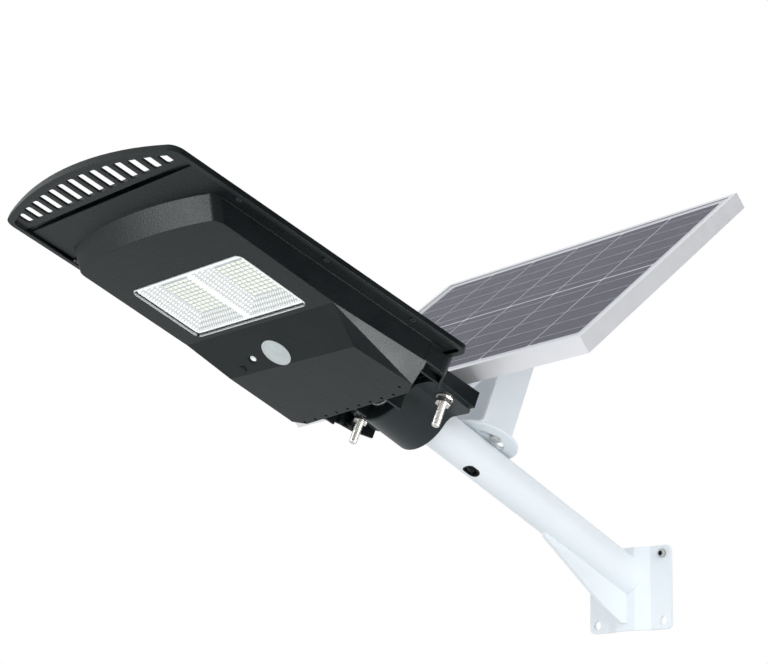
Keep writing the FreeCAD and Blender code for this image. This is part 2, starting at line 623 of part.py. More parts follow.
def bottom_housing():
    outer = tub(0.0)
    plate = put(floor_plate(), LAMP.inverse().multiply(COVER))
    above = put(box(-400, 400, -300, 300, 4.0, 90), LAMP.inverse().multiply(COVER))
    body = outer.cut(above).fuse(plate).fuse(rear_skirt()).cut(tub(SHELL_T))
    body = body.cut(rounded_plate(LENS_OPEN_L, LENS_OPEN_W, 6, -5, 5))
    body = body.cut(rounded_plate(LENS_L + 0.4, LENS_W + 0.4, 8, -5, 1.6))
    back = RAMP.inverse().multiply(LAMP)
    local = put(body, back)
    local = local.cut(cyl(PIR_R + 0.2, (PIR_X, PIR_Y, -10), Z, 30))
    local = local.cut(cyl(4.2, (LIGHT_X, LIGHT_Y, -10), Z, 30))
    local = local.cut(Part.makeCone(8.0, 4.2, 1.8, Vec(LIGHT_X, LIGHT_Y, -0.2), Z))
    local = local.cut(cyl(BUTTON_R + RUN_CLEAR, (BUTTON_X, BUTTON_Y, -10), Z, 30))
    body = put(local, back.inverse())
    for y in (-68.0, -8.0, 52.0):
        body = body.fuse(rear_rib(y).cut(tub(0.5)))
    for sy in (-1, 1):
        body = body.fuse(box(-250, -209, *sorted((sy * 110.5, sy * 113.5)), 8.0, 18.0).cut(tub(0.5)))
    for k in range(10):
        v = (k - 4.5) * 22.0
        u = REAR_EDGE + REAR_SLANT * v + (4.6 if v < 90 else 14.0)
        body = body.cut(cyl(2.2, (u, v, -19.0), Z, 4.0))
    cover_back = COVER.inverse().multiply(LAMP)
    body = put(body, cover_back)
    for u, s in HOUSING_SCREWS:
        body = body.cut(cyl(1.8, (u, s * (half_width(u) - SCREW_IN), 0), Z, 8))
    return put(body.removeSplitter(), COVER)


def rear_rib(y):
    """A thin web behind the tub's rear wall, along the lamp."""
    return prism([(-222.0, y - 1.5, -14.0), (-252.0, y - 1.5, -14.0), (-252.0, y - 1.5, 18.0),
                  (-207.5, y - 1.5, 18.0)], Y, 3.0)


def rear_skirt():
    """The side walls carried on behind the tub, bent inwards towards the clamp."""
    turn = math.radians(58.0)

    def ring(inset, w):
        v = 136.3 + 4.5 * w / TUB_LIFT
        r, end = 18.0 - inset, -259.0 - inset
        cu, cv = -226.0, v - 18.0
        mid, last = (Vec(cu - r * math.sin(a), cv + r * math.cos(a), w) for a in (turn / 2, turn))
        run = (last.x - end) / math.cos(turn)
        pts = [Vec(-195, v - inset, w), Vec(cu, v - inset, w), mid, last,
               Vec(end, last.y - run * math.sin(turn), w)]
        flip = [Vec(p.x, -p.y, p.z) for p in pts]
        return Part.Wire([Part.makeLine(pts[0], pts[1]), Part.Arc(pts[1], pts[2], pts[3]).toShape(),
                          Part.makeLine(pts[3], pts[4]), Part.makeLine(pts[4], flip[4]),
                          Part.makeLine(flip[4], flip[3]), Part.Arc(flip[3], flip[2], flip[1]).toShape(),
                          Part.makeLine(flip[1], flip[0]), Part.makeLine(flip[0], pts[0])])
    outer = Part.makeLoft([ring(0.0, 8.0), ring(0.0, 40.0)], True, True)
    inner = Part.makeLoft([ring(SHELL_T, 7.0), ring(SHELL_T, 41.0)], True, True)
    inner = inner.fuse(box(-300, -190, -90, 90, 0, 60)).fuse(box(-300, -258, -200, 200, 0, 60))
    wall = outer.cut(inner).cut(box(-200, -190, -200, 200, 0, 60))
    below_lip = put(box(-400, 400, -300, 300, -0.05, 90), LAMP.inverse().multiply(COVER))
    near = below_lip.common(box(REAR_U - 0.05, -100, -300, 300, -50, 90))
    under_neck = put(box(300, 700, -300, 300, CLAMP_GAP - 0.05, 90), LAMP.inverse().multiply(ARM))
    beyond = put(box(CLAMP_S0 - 100, CLAMP_S1 + 1, -300, 300, -90, 90), LAMP.inverse().multiply(ARM))
    wall = wall.cut(near).cut(under_neck).cut(beyond)
    pieces = [w for w in wall.Solids if w.Volume > 200]
    return Part.makeCompound(pieces).fuse(clamp_side())


def clamp_side():
    """On the -Y side the skirt goes on as a low wall beside the clamp."""
    plan = [(494, -119.5), (487, -108.3), (476, -95.5), (469, -92), (415, -92), (415, -89),
            (470.5, -89), (478.5, -93), (490, -105.5), (496, -115)]
    wall = prism([(s, y, -45.0) for s, y in plan], Z, 52.0)
    side = [(414, -14.5), (446, -23.5), (470, -26.5), (497, -26.0), (497, 5.0), (414, 5.0)]
    wall = wall.common(prism([(s, -125.0, h) for s, h in side], Y, 40.0))
    return put(wall, LAMP.inverse().multiply(ARM))


def housing_seal():
    w0, w1 = half_width(160.0) - 22.0, half_width(REAR_U) - 22.0
    outer = prism([(150, -w0, 5.2), (150, w0, 5.2), (REAR_U + 10, w1, 5.2), (REAR_U + 10, -w1, 5.2)], Z, 1.5)
    inner = prism([(144, -w0 + 5, 5), (144, w0 - 5, 5), (REAR_U + 16, w1 - 5, 5),
                   (REAR_U + 16, -w1 + 5, 5)], Z, 3)
    return put(outer.cut(inner), COVER)


def housing_screws():
    out = []
    for u, s in HOUSING_SCREWS:
        p = (u, s * (half_width(u) - SCREW_IN), 0.6)
        body = union([cyl(3.6, p, Z, 2.4), cyl(1.75, p, Z, 6.4)])
        body = body.cut(box(u - 2.2, u + 2.2, p[1] - 0.5, p[1] + 0.5, 0, 1.6))
        body = body.cut(box(u - 0.5, u + 0.5, p[1] - 2.2, p[1] + 2.2, 0, 1.6))
        out.append(put(body, COVER))
    return out


# ---- lamp head: light module -------------------------------------------------------------
def lens_cover():
    body = rounded_plate(LENS_L, LENS_W, 7.8, -1.4, 1.6)
    rim = [e for e in body.Edges if abs(e.BoundBox.ZMax + 1.4) < 1e-6]
    return put(body.makeFillet(0.8, rim), LAMP)


MODULE_V = LENS_OPEN_W / 4 + 0.6
MOUTH_U, MOUTH_V = LENS_OPEN_L - 6.0, LENS_OPEN_W / 2 - 7.0
LED_U, LED_V = LED_ROWS * LED_PY + 3.0, LED_COLS * LED_PX + 3.0


def reflector(sign):
    """A moulded white tray whose walls slope in to one field of LEDs."""
    cy = sign * MODULE_V
    y0, y1 = sorted((sign * 0.3, sign * (LENS_OPEN_W / 2 - 0.5)))
    block = box(-LENS_OPEN_L / 2 + 0.5, LENS_OPEN_L / 2 - 0.5, y0, y1, 1.8, LED_DEPTH).common(
        rounded_plate(LENS_OPEN_L - 1.0, LENS_OPEN_W - 1.0, 5.5, 0, 30))

    def ring(lu, lv, w):
        pts = [Vec(-lu / 2, cy - lv / 2, w), Vec(lu / 2, cy - lv / 2, w),
               Vec(lu / 2, cy + lv / 2, w), Vec(-lu / 2, cy + lv / 2, w)]
        return Part.makePolygon(pts + [pts[0]])
    well = Part.makeLoft([ring(MOUTH_U, MOUTH_V, 1.7), ring(LED_U, LED_V, LED_DEPTH + 0.1)], True, True)
    return put(block.cut(well), LAMP)


def led_board(sign):
    cy = sign * MODULE_V
    half = LENS_OPEN_W / 4 - 1.0
    return put(box(-46, 46, cy - half, cy + half, LED_DEPTH + 0.02, LED_DEPTH + 1.6), LAMP)


def led_chips(sign):
    out = []
    for row in range(LED_ROWS):
        for col in range(LED_COLS):
            u = (row - (LED_ROWS - 1) / 2) * LED_PY
            v = sign * MODULE_V + (col - (LED_COLS - 1) / 2) * LED_PX
            out.append(put(box(u - 2.1, u + 2.1, v - 3.0, v + 3.0, LED_DEPTH - 0.75, LED_DEPTH + 0.02), LAMP))
    return out


# ---- lamp head: sensor, light and button on the ramp -------------------------------------
def pir_lens():
    inside = cyl(PIR_R + 1.4, (PIR_X, PIR_Y, SHELL_T + 0.5), Z, 1.5)
    wall = cyl(PIR_R, (PIR_X, PIR_Y, -0.6), Z, SHELL_T + 2.4)
    ball_r = (PIR_R ** 2 + 3.4 ** 2) / 6.8
    cap = Part.makeSphere(ball_r, Vec(PIR_X, PIR_Y, -4.0 + ball_r)).common(
        cyl(PIR_R, (PIR_X, PIR_Y, -10), Z, 9.4))
    hollow = cyl(PIR_R - 1.5, (PIR_X, PIR_Y, -0.9), Z, 20)
    return put(union([inside, wall, cap]).cut(hollow), RAMP)


def pir_sensor():
    board = cyl(13.5, (PIR_X, PIR_Y, 9.0), Z, 1.6)
    can = cyl(4.6, (PIR_X, PIR_Y, 4.6), Z, 4.4)
    return put(union([board, can]), RAMP)


def indicator_light():
    stem = cyl(4.0, (LIGHT_X, LIGHT_Y, 1.2), Z, 7.0)
    flange = cyl(6.0, (LIGHT_X, LIGHT_Y, SHELL_T + 0.05), Z, 1.2)
    dome = Part.makeSphere(4.0, Vec(LIGHT_X, LIGHT_Y, 3.2))
    return put(union([stem, flange, dome]), RAMP)


def mode_button():
    cap = cyl(BUTTON_R, (BUTTON_X, BUTTON_Y, -1.2), Z, 6.0)
    cap = cap.makeFillet(0.8, [e for e in cap.Edges if e.BoundBox.ZMax < -1.1])
    flange = cyl(6.5, (BUTTON_X, BUTTON_Y, SHELL_T + 0.05), Z, 1.0)
    return put(union([cap, flange]), RAMP)


def switch_board():
    board = box(BUTTON_X - 10, LIGHT_X + 9, BUTTON_Y - 9, LIGHT_Y + 8, 10.0, 11.6)
    switch = box(BUTTON_X - 3, BUTTON_X + 3, BUTTON_Y - 3, BUTTON_Y + 3, 6.6, 10.0)
    return put(union([board, switch]), RAMP)


# ---- lamp head: battery and electronics --------------------------------------------------
BATTERY_N, BATTERY_R, BATTERY_L = 4, 16.0, 70.0
BATTERY_U, BATTERY_W = -197.0, 5.0


def battery_cells():
    out = []
    for k in range(BATTERY_N):
        v = (k - (BATTERY_N - 1) / 2) * (2 * BATTERY_R + 1.0)
        body = cyl(BATTERY_R, (BATTERY_U, v, BATTERY_W), X, BATTERY_L - 1.5)
        cap = cyl(5.0, (BATTERY_U + BATTERY_L - 1.6, v, BATTERY_W), X, 1.6)
        out.append(put(union([body, cap]), LAMP))
    return out


def battery_holder():
    """Two cheeks across the cells' ends joined by a tray under the cover."""
    half = BATTERY_N * (BATTERY_R + 0.5) + 3
    plate = box(BATTERY_U - 2.6, BATTERY_U + BATTERY_L + 3, -half, half, BATTERY_W + BATTERY_R + 0.5,
                BATTERY_W + BATTERY_R + 3)
    cheeks = [box(BATTERY_U - 2.6, BATTERY_U - 0.1, -half, half, BATTERY_W - 12, BATTERY_W + BATTERY_R + 1),
              box(BATTERY_U + BATTERY_L + 0.2, BATTERY_U + BATTERY_L + 3, -half, half, BATTERY_W - 8,
                  BATTERY_W + BATTERY_R + 1)]
    return put(union([plate] + cheeks), LAMP)


def charge_controller():
    board = box(-40, 40, -35, 35, 30.0, 31.6)
    parts = [box(-30, -12, -24, -6, 31.6, 40), box(4, 26, -28, -16, 31.6, 38),
             cyl(5, (10, 8, 31.6), Z, 12), cyl(5, (24, 8, 31.6), Z, 12), box(-32, -16, 10, 26, 31.6, 36)]
    return put(union([board] + parts), LAMP)


def heat_plate():
    """Aluminium plate that carries both LED boards and the controller."""
    plate = box(-52, 52, -106, 106, LED_DEPTH + 1.65, LED_DEPTH + 4.2)
    posts = [cyl(3.0, (u, v, LED_DEPTH + 4.0), Z, 26.0 - LED_DEPTH) for u in (-34, 34) for v in (-30, 30)]
    return put(union([plate] + posts), LAMP)


# ---- lamp head: clamp --------------------------------------------------------------------
def clamp_saddle():
    span = CLAMP_S1 - CLAMP_S0
    low = -CLAMP_GAP - CLAMP_FLANGE
    flange = box(CLAMP_S0, CLAMP_S1, -CLAMP_HALF_W, CLAMP_HALF_W, low, -CLAMP_GAP)
    upright = [e for e in flange.Edges if abs(e.tangentAt(e.FirstParameter).z) > 0.9]
    flange = flange.makeFillet(10.0, upright)
    below = box(CLAMP_S0 - 1, CLAMP_S1 + 1, -60, 60, -60, -CLAMP_GAP)
    barrel = cyl(CLAMP_R, (CLAMP_S0, 0, 0), X, span)
    barrel = barrel.makeFillet(3.0, barrel.Edges).common(below)
    reach, drop = CLAMP_R + CLAMP_BLEND, CLAMP_BLEND - low
    cy = math.sqrt(reach ** 2 - drop ** 2)
    ty, tz = cy * CLAMP_R / reach, -drop * CLAMP_R / reach
    blends = []
    for sy in (-1, 1):
        pts = [(ty - 4, tz), (ty, tz), (cy, low), (cy, low + 1), (ty - 4, low + 1)]
        wedge = prism([(CLAMP_S0 + 1.5, sy * y, z) for y, z in pts], X, span - 3)
        blends.append(wedge.cut(cyl(CLAMP_BLEND, (CLAMP_S0, sy * cy, -drop), X, span)))
    body = union([flange, barrel] + blends)
    for s0, s1 in ((CLAMP_S0 + 6, CLAMP_S0 + 33), (CLAMP_S0 + 39, CLAMP_S1 - 6)):
        body = body.cut(cyl(CLAMP_R - 5, (s0, 0, 0), X, s1 - s0))
    body = body.cut(cyl(TUBE_R + RUN_CLEAR, (CLAMP_S0 - 1, 0, 0), X, span + 2))
    for sy in (-1, 1):
        body = body.cut(cyl(5.3, (BOLT_S, sy * BOLT_Y, -30), Z, 40))
    return put(body, ARM)


FLANGE_LOW = -CLAMP_GAP - CLAMP_FLANGE


def clamp_bolts():
    out = []
    for sy in (-1, 1):
        head = hexagon(17.0, (BOLT_S, sy * BOLT_Y, 12), Z, 6.4)
        shank = cyl(5.0, (BOLT_S, sy * BOLT_Y, FLANGE_LOW - BOLT_OUT), Z, 12.5 - FLANGE_LOW + BOLT_OUT)
        tip = [e for e in shank.Edges if e.BoundBox.ZMax < FLANGE_LOW - BOLT_OUT + 0.1]
        out.append(put(union([head, shank.makeChamfer(0.9, tip)]), ARM))
    return out


def clamp_washers():
    return [put(washer(10, 10.5, (BOLT_S, sy * BOLT_Y, FLANGE_LOW), -Z, 2.0), ARM) for sy in (-1, 1)]


def clamp_nuts():
    return [put(nut(10, (BOLT_S, sy * BOLT_Y, FLANGE_LOW - 2.0), -Z), ARM) for sy in (-1, 1)]


# ---- write every node --------------------------------------------------------------------
def build():
    os.makedirs("parts", exist_ok=True)
    save("wall_plate", [wall_plate()])
    save("arm_tube", [arm_tube()])
    save("gusset_plate", [gusset()])
    save("cable_grommet", [cable_grommet()])
    save("swivel_disc", [swivel_disc()])
    save("panel_yoke", [panel_yoke()])
    save("yoke_bolts", yoke_bolts())
    save("yoke_nuts", yoke_nuts())
    save("yoke_washers", yoke_washers())
    for name, along_y, sign in (("frame_rail_lower", True, -1), ("frame_rail_upper", True, 1),
                                ("frame_rail_left", False, 1), ("frame_rail_right", False, -1)):
        save(name, [frame_rail(along_y, sign)])
    save("frame_corner_keys", corner_keys())
    save("panel_glass", [laminate(-LIP, GLASS_T)])
    save("solar_cells", solar_cells())
    save("cell_ribbons", cell_ribbons())
    save("panel_backsheet", [laminate(CELL_TOP - 0.3, SHEET_T)])
    save("mount_rail_left", [mount_rail(1)])
    save("mount_rail_right", [mount_rail(-1)])
    save("rail_bolts", rail_bolts())
    save("rail_nuts", rail_nuts())
    save("tilt_bolts", tilt_bolts())
    save("tilt_nuts", tilt_nuts())
    save("tilt_washers", tilt_washers())
    save("junction_box", [junction_box()])
    save("junction_box_lid", [junction_lid()])
    save("junction_box_gland", [junction_gland()])
    save("top_cover", [top_cover()])
    save("bottom_housing", [bottom_housing()])
    save("housing_seal", [housing_seal()])
    save("housing_screws", housing_screws())
    save("lens_cover", [lens_cover()])
    save("reflector_left", [reflector(-1)])
    save("reflector_right", [reflector(1)])
    save("led_board_left", [led_board(-1)])
    save("led_board_right", [led_board(1)])
    save("led_chips_left", led_chips(-1))
    save("led_chips_right", led_chips(1))
    save("heat_plate", [heat_plate()])
    save("charge_controller", [charge_controller()])
    save("pir_lens", [pir_lens()])
    save("pir_sensor", [pir_sensor()])
    save("indicator_light", [indicator_light()])
    save("mode_button", [mode_button()])
    save("switch_board", [switch_board()])
    save("battery_cells", battery_cells())
    save("battery_holder", [battery_holder()])
    save("clamp_saddle", [clamp_saddle()])
    save("clamp_bolts", clamp_bolts())
    save("clamp_washers", clamp_washers())
    save("clamp_nuts", clamp_nuts())


build()
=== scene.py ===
"""Looks of a solar street lamp: lamp head with clamp, wall arm and tilting solar panel."""
import json
import math

import bpy
from mathutils import Matrix, Vector

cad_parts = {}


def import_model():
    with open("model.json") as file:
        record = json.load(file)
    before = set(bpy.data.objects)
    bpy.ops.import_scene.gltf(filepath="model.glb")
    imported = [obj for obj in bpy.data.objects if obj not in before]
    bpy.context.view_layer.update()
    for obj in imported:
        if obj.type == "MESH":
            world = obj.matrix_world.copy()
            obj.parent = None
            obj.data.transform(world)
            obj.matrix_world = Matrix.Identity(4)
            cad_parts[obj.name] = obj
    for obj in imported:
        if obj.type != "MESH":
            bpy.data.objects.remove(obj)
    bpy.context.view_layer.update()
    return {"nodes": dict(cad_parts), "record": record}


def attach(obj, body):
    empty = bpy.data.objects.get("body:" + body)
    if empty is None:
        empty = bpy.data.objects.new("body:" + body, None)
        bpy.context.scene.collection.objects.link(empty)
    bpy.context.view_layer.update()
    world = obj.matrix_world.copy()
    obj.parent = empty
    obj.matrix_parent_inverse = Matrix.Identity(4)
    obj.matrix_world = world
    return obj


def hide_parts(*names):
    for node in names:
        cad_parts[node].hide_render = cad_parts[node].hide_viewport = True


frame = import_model()
NODES = frame["nodes"]
SLOT_OF = {n["node"]: n.get("material_slot") for n in frame["record"].get("subparts", []) if "node" in n}


# ---- frames of the object, the same as the CAD's -----------------------------------------
def pitched(x, z, degrees):
    """A frame at (x, 0, z) whose own X axis rises by so many degrees."""
    a = math.radians(degrees)
    c, s = math.cos(a), math.sin(a)
    return Matrix(((c, 0, -s, x), (0, 1, 0, 0), (s, 0, c, z), (0, 0, 0, 1)))


ARM = pitched(0, 0.015, 22.02)
LAMP = pitched(0.7063, 0.2544, 19.29)
COVER = LAMP @ pitched(0, 0.0229, -1.39)
RAMP = LAMP @ pitched(-0.090, -0.0085, math.degrees(math.atan2(17, 60)))
SWIVEL_AXIS = ARM @ Matrix.Translation((0.318, 0, 0))
SWIVEL = SWIVEL_AXIS @ Matrix.Rotation(math.radians(-1.9), 4, "Z") @ SWIVEL_AXIS.inverted()
PANEL = (SWIVEL @ Matrix.Translation((0.2433, 0, 0.3429)) @ Matrix.Rotation(math.radians(40.44), 4, "Y")
         @ Matrix.Rotation(math.pi, 4, "Z"))


# ---- camera ------------------------------------------------------------------------------
CAMERA_PLACE = (1.8515, 1.57932, -0.30984)
CAMERA_FROM = (48.52, -15.27)      # azimuth and elevation that it looks from, degrees
CAMERA_ROLL = 1.67
FOCAL, SENSOR = 84.33, 36.0        # mm


def make_camera():
    az, el = (math.radians(d) for d in CAMERA_FROM)
    roll = math.radians(CAMERA_ROLL)
    back = Vector((math.cos(el) * math.cos(az), math.cos(el) * math.sin(az), math.sin(el)))
    right = Vector((0, 0, 1)).cross(back).normalized()
    up = back.cross(right)
    x = math.cos(roll) * right + math.sin(roll) * up
    y = -math.sin(roll) * right + math.cos(roll) * up
    data = bpy.data.cameras.new("camera")
    data.sensor_width, data.lens = SENSOR, FOCAL
    data.clip_start, data.clip_end = 0.05, 150.0
    cam = bpy.data.objects.new("camera", data)
    bpy.context.scene.collection.objects.link(cam)
    m = Matrix((x, y, back)).transposed().to_4x4()
    m.translation = Vector(CAMERA_PLACE)
    cam.matrix_world = m
    bpy.context.scene.camera = cam


make_camera()


# ---- materials ------------------------------------------------------------------------
class Nodes:
    """The node tree of a material or a world, with short ways to add nodes to it."""

    def __init__(self, owner):
        self.m = owner
        self.nt = owner.node_tree

    def bare(self):
        """Leaves the tree empty, for an owner that builds its own shader."""
        self.nt.nodes.clear()
        return self

    def node(self, kind, **props):
        n = self.nt.nodes.new(kind)
        for k, v in props.items():
            setattr(n, k, v)
        return n

    def link(self, a, b):
        self.nt.links.new(a, b)

    def coords(self, matrix=None):
        """Object coordinates, in one of the object's own frames where a matrix is given."""
        out = self.node("ShaderNodeTexCoord").outputs["Object"]
        if matrix is None:
            return out
        inv = matrix.inverted()
        mp = self.node("ShaderNodeMapping", vector_type="POINT")
        mp.inputs["Location"].default_value = inv.to_translation()
        mp.inputs["Rotation"].default_value = inv.to_euler()
        self.link(out, mp.inputs["Vector"])
        return mp.outputs["Vector"]

    def stretched(self, vector, scale):
        mp = self.node("ShaderNodeMapping", vector_type="POINT")
        mp.inputs["Scale"].default_value = scale
        self.link(vector, mp.inputs["Vector"])
        return mp.outputs["Vector"]

    def noise(self, vector, scale, detail=3.0, rough=0.55):
        n = self.node("ShaderNodeTexNoise")
        n.inputs["Scale"].default_value = scale
        n.inputs["Detail"].default_value = detail
        n.inputs["Roughness"].default_value = rough
        self.link(vector, n.inputs["Vector"])
        return n.outputs["Fac"]

    def voronoi(self, vector, scale, feature="F1", out="Distance"):
        n = self.node("ShaderNodeTexVoronoi", feature=feature)
        n.inputs["Scale"].default_value = scale
        self.link(vector, n.inputs["Vector"])
        return n.outputs[out]

    def math(self, op, a, b=0.0, clamp=False):
        n = self.node("ShaderNodeMath", operation=op, use_clamp=clamp)
        for k, v in enumerate((a, b)):
            if isinstance(v, (int, float)):
                n.inputs[k].default_value = v
            else:
                self.link(v, n.inputs[k])
        return n.outputs[0]

    def axis(self, vector, index):
        n = self.node("ShaderNodeSeparateXYZ")
        self.link(vector, n.inputs[0])
        return n.outputs[index]

    def span(self, value, lo, hi, to_lo, to_hi):
        n = self.node("ShaderNodeMapRange")
        n.inputs["From Min"].default_value, n.inputs["From Max"].default_value = lo, hi
        n.inputs["To Min"].default_value, n.inputs["To Max"].default_value = to_lo, to_hi
        self.link(value, n.inputs["Value"])
        return n.outputs["Result"]

    def mixed(self, factor, a, b):
        """Colour a where factor is 0, b where it is 1; a and b are colours or sockets."""
        n = self.node("ShaderNodeMix", data_type="RGBA")
        self.link(factor, n.inputs[0])
        for k, v in ((6, a), (7, b)):
            if isinstance(v, tuple):
                n.inputs[k].default_value = (*v, 1)
            else:
                self.link(v, n.inputs[k])
        return n.outputs[2]

    def near(self, value, pitch, offset=0.0):
        """Distance to the nearest line of a row of lines."""
        return self.math("PINGPONG", self.math("SUBTRACT", value, offset), pitch / 2)

    def below(self, value, limit, soft):
        """1 where the value is under the limit, 0 above it."""
        return self.span(value, limit - soft, limit + soft, 1.0, 0.0)


class Mat(Nodes):
    """A Principled material with patterns for its colour, roughness and relief."""

    def __init__(self, name, colour, rough, metallic=0.0, specular=0.5, **more):
        material = bpy.data.materials.new(name)
        material.use_nodes = True
        super().__init__(material)
        self.b = self.nt.nodes["Principled BSDF"]
        self.b.inputs["Base Color"].default_value = (*colour, 1)
        self.b.inputs["Roughness"].default_value = rough
        self.b.inputs["Metallic"].default_value = metallic
        self.b.inputs["Specular IOR Level"].default_value = specular
        for key, value in more.items():
            self.b.inputs[key.replace("_", " ")].default_value = value
        self.height = None

    def edge(self, radius, samples=6):
        """Soft rounded look on every sharp edge."""
        n = self.node("ShaderNodeBevel", samples=samples)
        n.inputs["Radius"].default_value = radius
        self.height = n.outputs["Normal"]
        self.link(self.height, self.b.inputs["Normal"])
        return self

    def colour(self, socket):
        self.link(socket, self.b.inputs["Base Color"])
        return self

    def roughness(self, socket):
        self.link(socket, self.b.inputs["Roughness"])
        return self

    def bump(self, socket, depth, strength=1.0):
        """Adds a relief whose full range is `depth` metres high."""
        n = self.node("ShaderNodeBump")
        n.inputs["Strength"].default_value = strength
        n.inputs["Distance"].default_value = depth
        self.link(socket, n.inputs["Height"])
        if self.height is not None:
            self.link(self.height, n.inputs["Normal"])
        self.height = n.outputs["Normal"]
        self.link(self.height, self.b.inputs["Normal"])
        return self


def powder_coat(name, colour, dark, rough=0.36):
    """Baked powder coating: faint orange peel, soft gloss changes and a little handling dust."""
    m = Mat(name, colour, rough).edge(0.0009)
    at = m.coords()
    m.colour(m.mixed(m.span(m.noise(at, 9.0, 4.0), 0.45, 0.75, 0.0, 0.5), colour, dark))
    m.roughness(m.span(m.noise(at, 60.0, 3.0), 0.3, 0.7, rough - 0.05, rough + 0.07))
    m.bump(m.noise(at, 520.0, 2.0), 0.00010, 0.4)
    return m


def moulded(name, colour, light, rough=0.5, specular=0.3, grain=1.0):
    """Black moulded plastic with a fine spark-eroded grain."""
    m = Mat(name, colour, rough, specular=specular).edge(0.0012)
    at = m.coords()
    grit = m.noise(at, 1500.0, 2.0, 0.6)
    patch = m.noise(at, 14.0, 4.0)
    tint = m.mixed(m.span(patch, 0.35, 0.7, 0.0, 0.6), colour, light)
    m.colour(m.mixed(m.span(grit, 0.5, 0.72, 0.0, 0.55), tint, light))
    m.roughness(m.span(patch, 0.3, 0.7, rough - 0.04, rough + 0.06))
    m.b.inputs["Specular Tint"].default_value = (0.94, 1.0, 1.0, 1)
    m.bump(m.noise(at, 750.0, 3.0, 0.6), 0.00014 * grain, 0.6)
    m.bump(m.noise(at, 420.0, 2.0, 0.5), 0.00045 * grain, 0.6)
    return m


def metal(name, colour, rough, grain_scale=(400.0, 400.0, 400.0), matrix=None, depth=0.00003):
    m = Mat(name, colour, rough, metallic=1.0).edge(0.0007)
    at = m.coords(matrix)
    fine = m.noise(m.stretched(at, grain_scale), 1.0, 3.0)
    cloud = m.noise(at, 30.0, 3.0)
    dark = tuple(c * 0.84 for c in colour)
    m.colour(m.mixed(m.span(cloud, 0.35, 0.7, 0.0, 0.7), colour, dark))
    m.roughness(m.span(fine, 0.3, 0.7, max(0.05, rough - 0.06), rough + 0.08))
    m.bump(fine, depth, 0.5)
    return m


def smooth(name, colour, other, rough, scale=40.0, bump=0.00003, **more):
    """Plain moulded or printed surface with faint mottling."""
    m = Mat(name, colour, rough, **more)
    at = m.coords()
    m.colour(m.mixed(m.span(m.noise(at, scale, 4.0), 0.35, 0.7, 0, 1), colour, other))
    m.roughness(m.span(m.noise(at, scale * 3, 3.0), 0.3, 0.7, rough - 0.04, rough + 0.06))
    m.bump(m.noise(at, 900.0), bump, 0.4)
    return m


MATS = {}
MATS["white_steel"] = powder_coat("white_powder_coat", (0.84, 0.88, 0.915), (0.79, 0.83, 0.87))
MATS["black_cover"] = moulded("black_cover_plastic", (0.0030, 0.0042, 0.0047), (0.0080, 0.0100, 0.0106),
                              0.33, 0.19)
MATS["black_housing"] = moulded("black_housing_plastic", (0.0022, 0.0034, 0.0040), (0.0066, 0.0086, 0.0093),
                                0.33, 0.16)
MATS["black_clamp"] = moulded("black_clamp_coat", (0.0120, 0.0175, 0.0195), (0.026, 0.034, 0.037),
                              0.38, 0.36, 0.4)
MATS["black_rubber"] = moulded("black_rubber", (0.010, 0.010, 0.010), (0.018, 0.018, 0.018), 0.7, 0.3)
MATS["black_box"] = moulded("junction_plastic", (0.012, 0.012, 0.013), (0.022, 0.022, 0.023), 0.5)
MATS["zinc_screw"] = metal("blackened_screw_and_socket_shade", (0.10, 0.10, 0.11), 0.35)
MATS["plated_bolt"] = metal("plated_bolt", (0.62, 0.61, 0.58), 0.3)
MATS["bare_aluminium"] = metal("bare_aluminium", (0.80, 0.80, 0.80), 0.35)
MATS["frame_aluminium"] = smooth("anodised_frame", (0.72, 0.715, 0.74), (0.70, 0.695, 0.718), 0.42, 20.0,
                                 0.000004, metallic=0.35)
MATS["tinned_ribbon"] = metal("tinned_ribbon", (0.75, 0.75, 0.76), 0.35)
MATS["clear_indicator"] = smooth("indicator_plastic", (0.72, 0.76, 0.76), (0.80, 0.82, 0.82), 0.12, 120.0)
MATS["white_sheet"] = smooth("backsheet_film", (0.70, 0.69, 0.72), (0.66, 0.655, 0.68), 0.5, 12.0,
                             specular=0.15)
MATS["battery_wrap"] = smooth("battery_wrap", (0.03, 0.10, 0.28), (0.02, 0.075, 0.22), 0.25, 30.0)


def threaded():
    """Bright steel with the thread of the clamp bolts cut into the part below the flange."""
    turn, flange_under, depth = 0.00175, -0.0175, 0.0006
    m = metal("stainless", (0.74, 0.72, 0.69), 0.30, depth=0.000004)
    h = m.axis(m.coords(ARM), 2)
    crest = m.span(m.near(h, turn), 0.0, turn / 2, 0.0, 1.0)
    m.bump(m.math("MULTIPLY", crest, m.below(h, flange_under, 0.0005)), depth, 0.8)
    return m


MATS["stainless"] = threaded()


# The LEDs stand on a grid in the lamp's frame; the trays' walls lie between two heights.
LED_PITCH_U, LED_PITCH_V, LED_FIRST_V = 0.006, 0.0087, 0.0542
LED_WINDOW_U, LED_WINDOW_V = 0.0017, 0.0025
BEAD_PITCH, BEAD_TOP, BEAD_FOOT = 0.0041, 0.0010, 0.0022
WALL_LOW, WALL_HIGH = 0.0023, 0.0157
LENS_HALF_U, LENS_HALF_V = 0.0508, 0.1003


